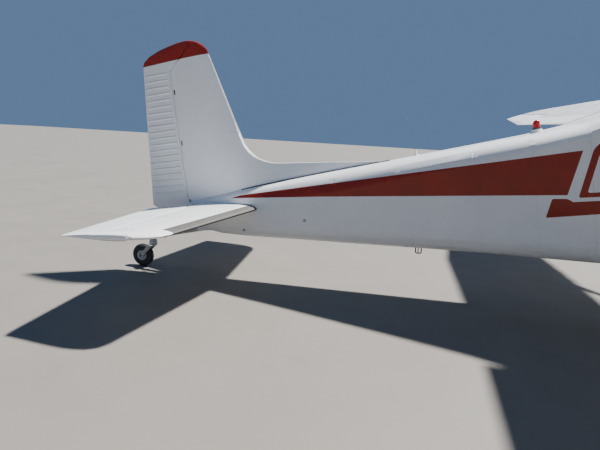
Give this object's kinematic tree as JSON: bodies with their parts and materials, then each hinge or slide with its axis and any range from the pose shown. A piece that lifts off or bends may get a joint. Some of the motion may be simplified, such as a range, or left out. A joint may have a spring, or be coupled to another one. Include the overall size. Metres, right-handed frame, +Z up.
{
  "type": "single-engine light aircraft",
  "caption": "High-wing light aircraft on fixed main wheels and a castering tailwheel, with opening doors, flaps, hinged control surfaces and a turning propeller.",
  "frame": {"origin": "on the ground, under the middle of the length and on the plane of symmetry, with the aircraft parked nose-up on its three wheels", "axes": "+X forwards along the ground towards the nose, +Y to the aircraft's left, +Z up; the aircraft sits 11.5 degrees nose-up about Y"},
  "size_m": [7.8462, 10.92, 2.3604],
  "materials": {
    "white_paint": "gloss white aircraft paint with dark orange-red stripes",
    "leg_paint": "gloss white paint on spring steel",
    "cast_engine": "dull grey castings",
    "blade_metal": "satin blades with dark backs",
    "bare_metal": "satin, lightly worn",
    "clear_panel": "clear acrylic sheet",
    "dark_trim": "matt black",
    "seat_cloth": "grey woven cloth with vinyl welts",
    "black_rubber": "dull black rubber, dusty",
    "red_lens": "glossy red lens"
  },
  "bodies": {
    "airframe": {"cabin_shell": "white_paint", "tailcone": "white_paint", "cowling": "white_paint", "engine_block": "cast_engine", "windshield": "clear_panel", "rear_window_left": "clear_panel", "rear_window_right": "clear_panel", "instrument_panel": "dark_trim", "front_seat_left": "seat_cloth", "front_seat_right": "seat_cloth", "seat_frames": "bare_metal", "rear_seat": "seat_cloth", "wing_left": "white_paint", "wing_right": "white_paint", "strut_left": "white_paint", "strut_right": "white_paint", "fin": "white_paint", "stabilizer_left": "white_paint", "stabilizer_right": "white_paint", "gear_leg_left": "leg_paint", "gear_leg_right": "leg_paint", "tail_spring": "leg_paint", "exhaust": "bare_metal", "beacon": "red_lens", "antenna": "dark_trim"},
    "propeller_set": {"propeller": "blade_metal", "spinner": "white_paint"},
    "left_door": {"door_left": "white_paint", "door_glass_left": "clear_panel"},
    "right_door": {"door_right": "white_paint", "door_glass_right": "clear_panel"},
    "baggage_lid": {"baggage_door": "white_paint"},
    "left_aileron": {"aileron_left": "white_paint"},
    "right_aileron": {"aileron_right": "white_paint"},
    "left_flap": {"flap_left": "white_paint"},
    "right_flap": {"flap_right": "white_paint"},
    "rudder_set": {"rudder": "white_paint"},
    "elevator_set": {"elevators": "white_paint"},
    "left_wheel": {"main_wheel_left": "bare_metal", "main_tyre_left": "black_rubber"},
    "right_wheel": {"main_wheel_right": "bare_metal", "main_tyre_right": "black_rubber"},
    "tailwheel_fork": {"tail_fork": "bare_metal"},
    "tailwheel_roller": {"tail_wheel": "bare_metal", "tail_tyre": "black_rubber"}
  },
  "joints": [
    {"name": "propeller_spin", "type": "hinge", "parent": "airframe", "child": "propeller_set", "pos_m": [3.64875, 0, 1.61269], "axis": [0.9799, 0, 0.1994], "continuous": true},
    {"name": "left_door_hinge", "type": "hinge", "parent": "airframe", "child": "left_door", "pos_m": [1.80159, 0.546, 1.23688], "axis": [0.1994, 0, -0.9799], "range_deg": [0, 75]},
    {"name": "right_door_hinge", "type": "hinge", "parent": "airframe", "child": "right_door", "pos_m": [1.80159, -0.546, 1.23688], "axis": [-0.1994, 0, 0.9799], "range_deg": [0, 75]},
    {"name": "baggage_hinge", "type": "hinge", "parent": "airframe", "child": "baggage_lid", "pos_m": [0.82166, 0.544, 1.03752], "axis": [0.1994, 0, -0.9799], "range_deg": [0, 90]},
    {"name": "left_aileron_hinge", "type": "hinge", "parent": "airframe", "child": "left_aileron", "pos_m": [0.69518, 2.536, 1.9411], "axis": [0.0817, 0.9943, 0.0682], "range_deg": [-17, 17]},
    {"name": "right_aileron_hinge", "type": "hinge", "parent": "airframe", "child": "right_aileron", "pos_m": [0.69518, -2.536, 1.9411], "axis": [-0.0817, 0.9943, -0.0682], "range_deg": [-17, 17]},
    {"name": "left_flap_hinge", "type": "hinge", "parent": "airframe", "child": "left_flap", "pos_m": [0.75464, 0.9, 1.79156], "axis": [0.0073, -0.9993, -0.0359], "range_deg": [0, 40]},
    {"name": "right_flap_hinge", "type": "hinge", "parent": "airframe", "child": "right_flap", "pos_m": [0.75464, -0.9, 1.79156], "axis": [-0.0073, -0.9993, 0.0359], "range_deg": [0, 40]},
    {"name": "rudder_hinge", "type": "hinge", "parent": "airframe", "child": "rudder_set", "pos_m": [-3.19624, 0, 0.52213], "axis": [-0.1724, 0, 0.985], "range_deg": [-24, 24]},
    {"name": "elevator_hinge", "type": "hinge", "parent": "airframe", "child": "elevator_set", "pos_m": [-3.11104, 0, 0.73029], "axis": [0, 1, 0], "range_deg": [-24, 26]},
    {"name": "left_wheel_spin", "type": "hinge", "parent": "airframe", "child": "left_wheel", "pos_m": [2.30187, 1.165, 0.2225], "axis": [0, 1, 0], "continuous": true},
    {"name": "right_wheel_spin", "type": "hinge", "parent": "airframe", "child": "right_wheel", "pos_m": [2.30187, -1.165, 0.2225], "axis": [0, 1, 0], "continuous": true},
    {"name": "tailwheel_swivel", "type": "hinge", "parent": "airframe", "child": "tailwheel_fork", "pos_m": [-3.6754, 0, 0.262], "axis": [0, 0, 1], "continuous": true},
    {"name": "tailwheel_spin", "type": "hinge", "parent": "tailwheel_fork", "child": "tailwheel_roller", "pos_m": [-3.7994, 0, 0.125], "axis": [0, 1, 0], "continuous": true}
  ],
  "couplings": [
    {"joint": "right_aileron_hinge", "follows": "left_aileron_hinge", "ratio": -1},
    {"joint": "right_flap_hinge", "follows": "left_flap_hinge", "ratio": 1}
  ]
}
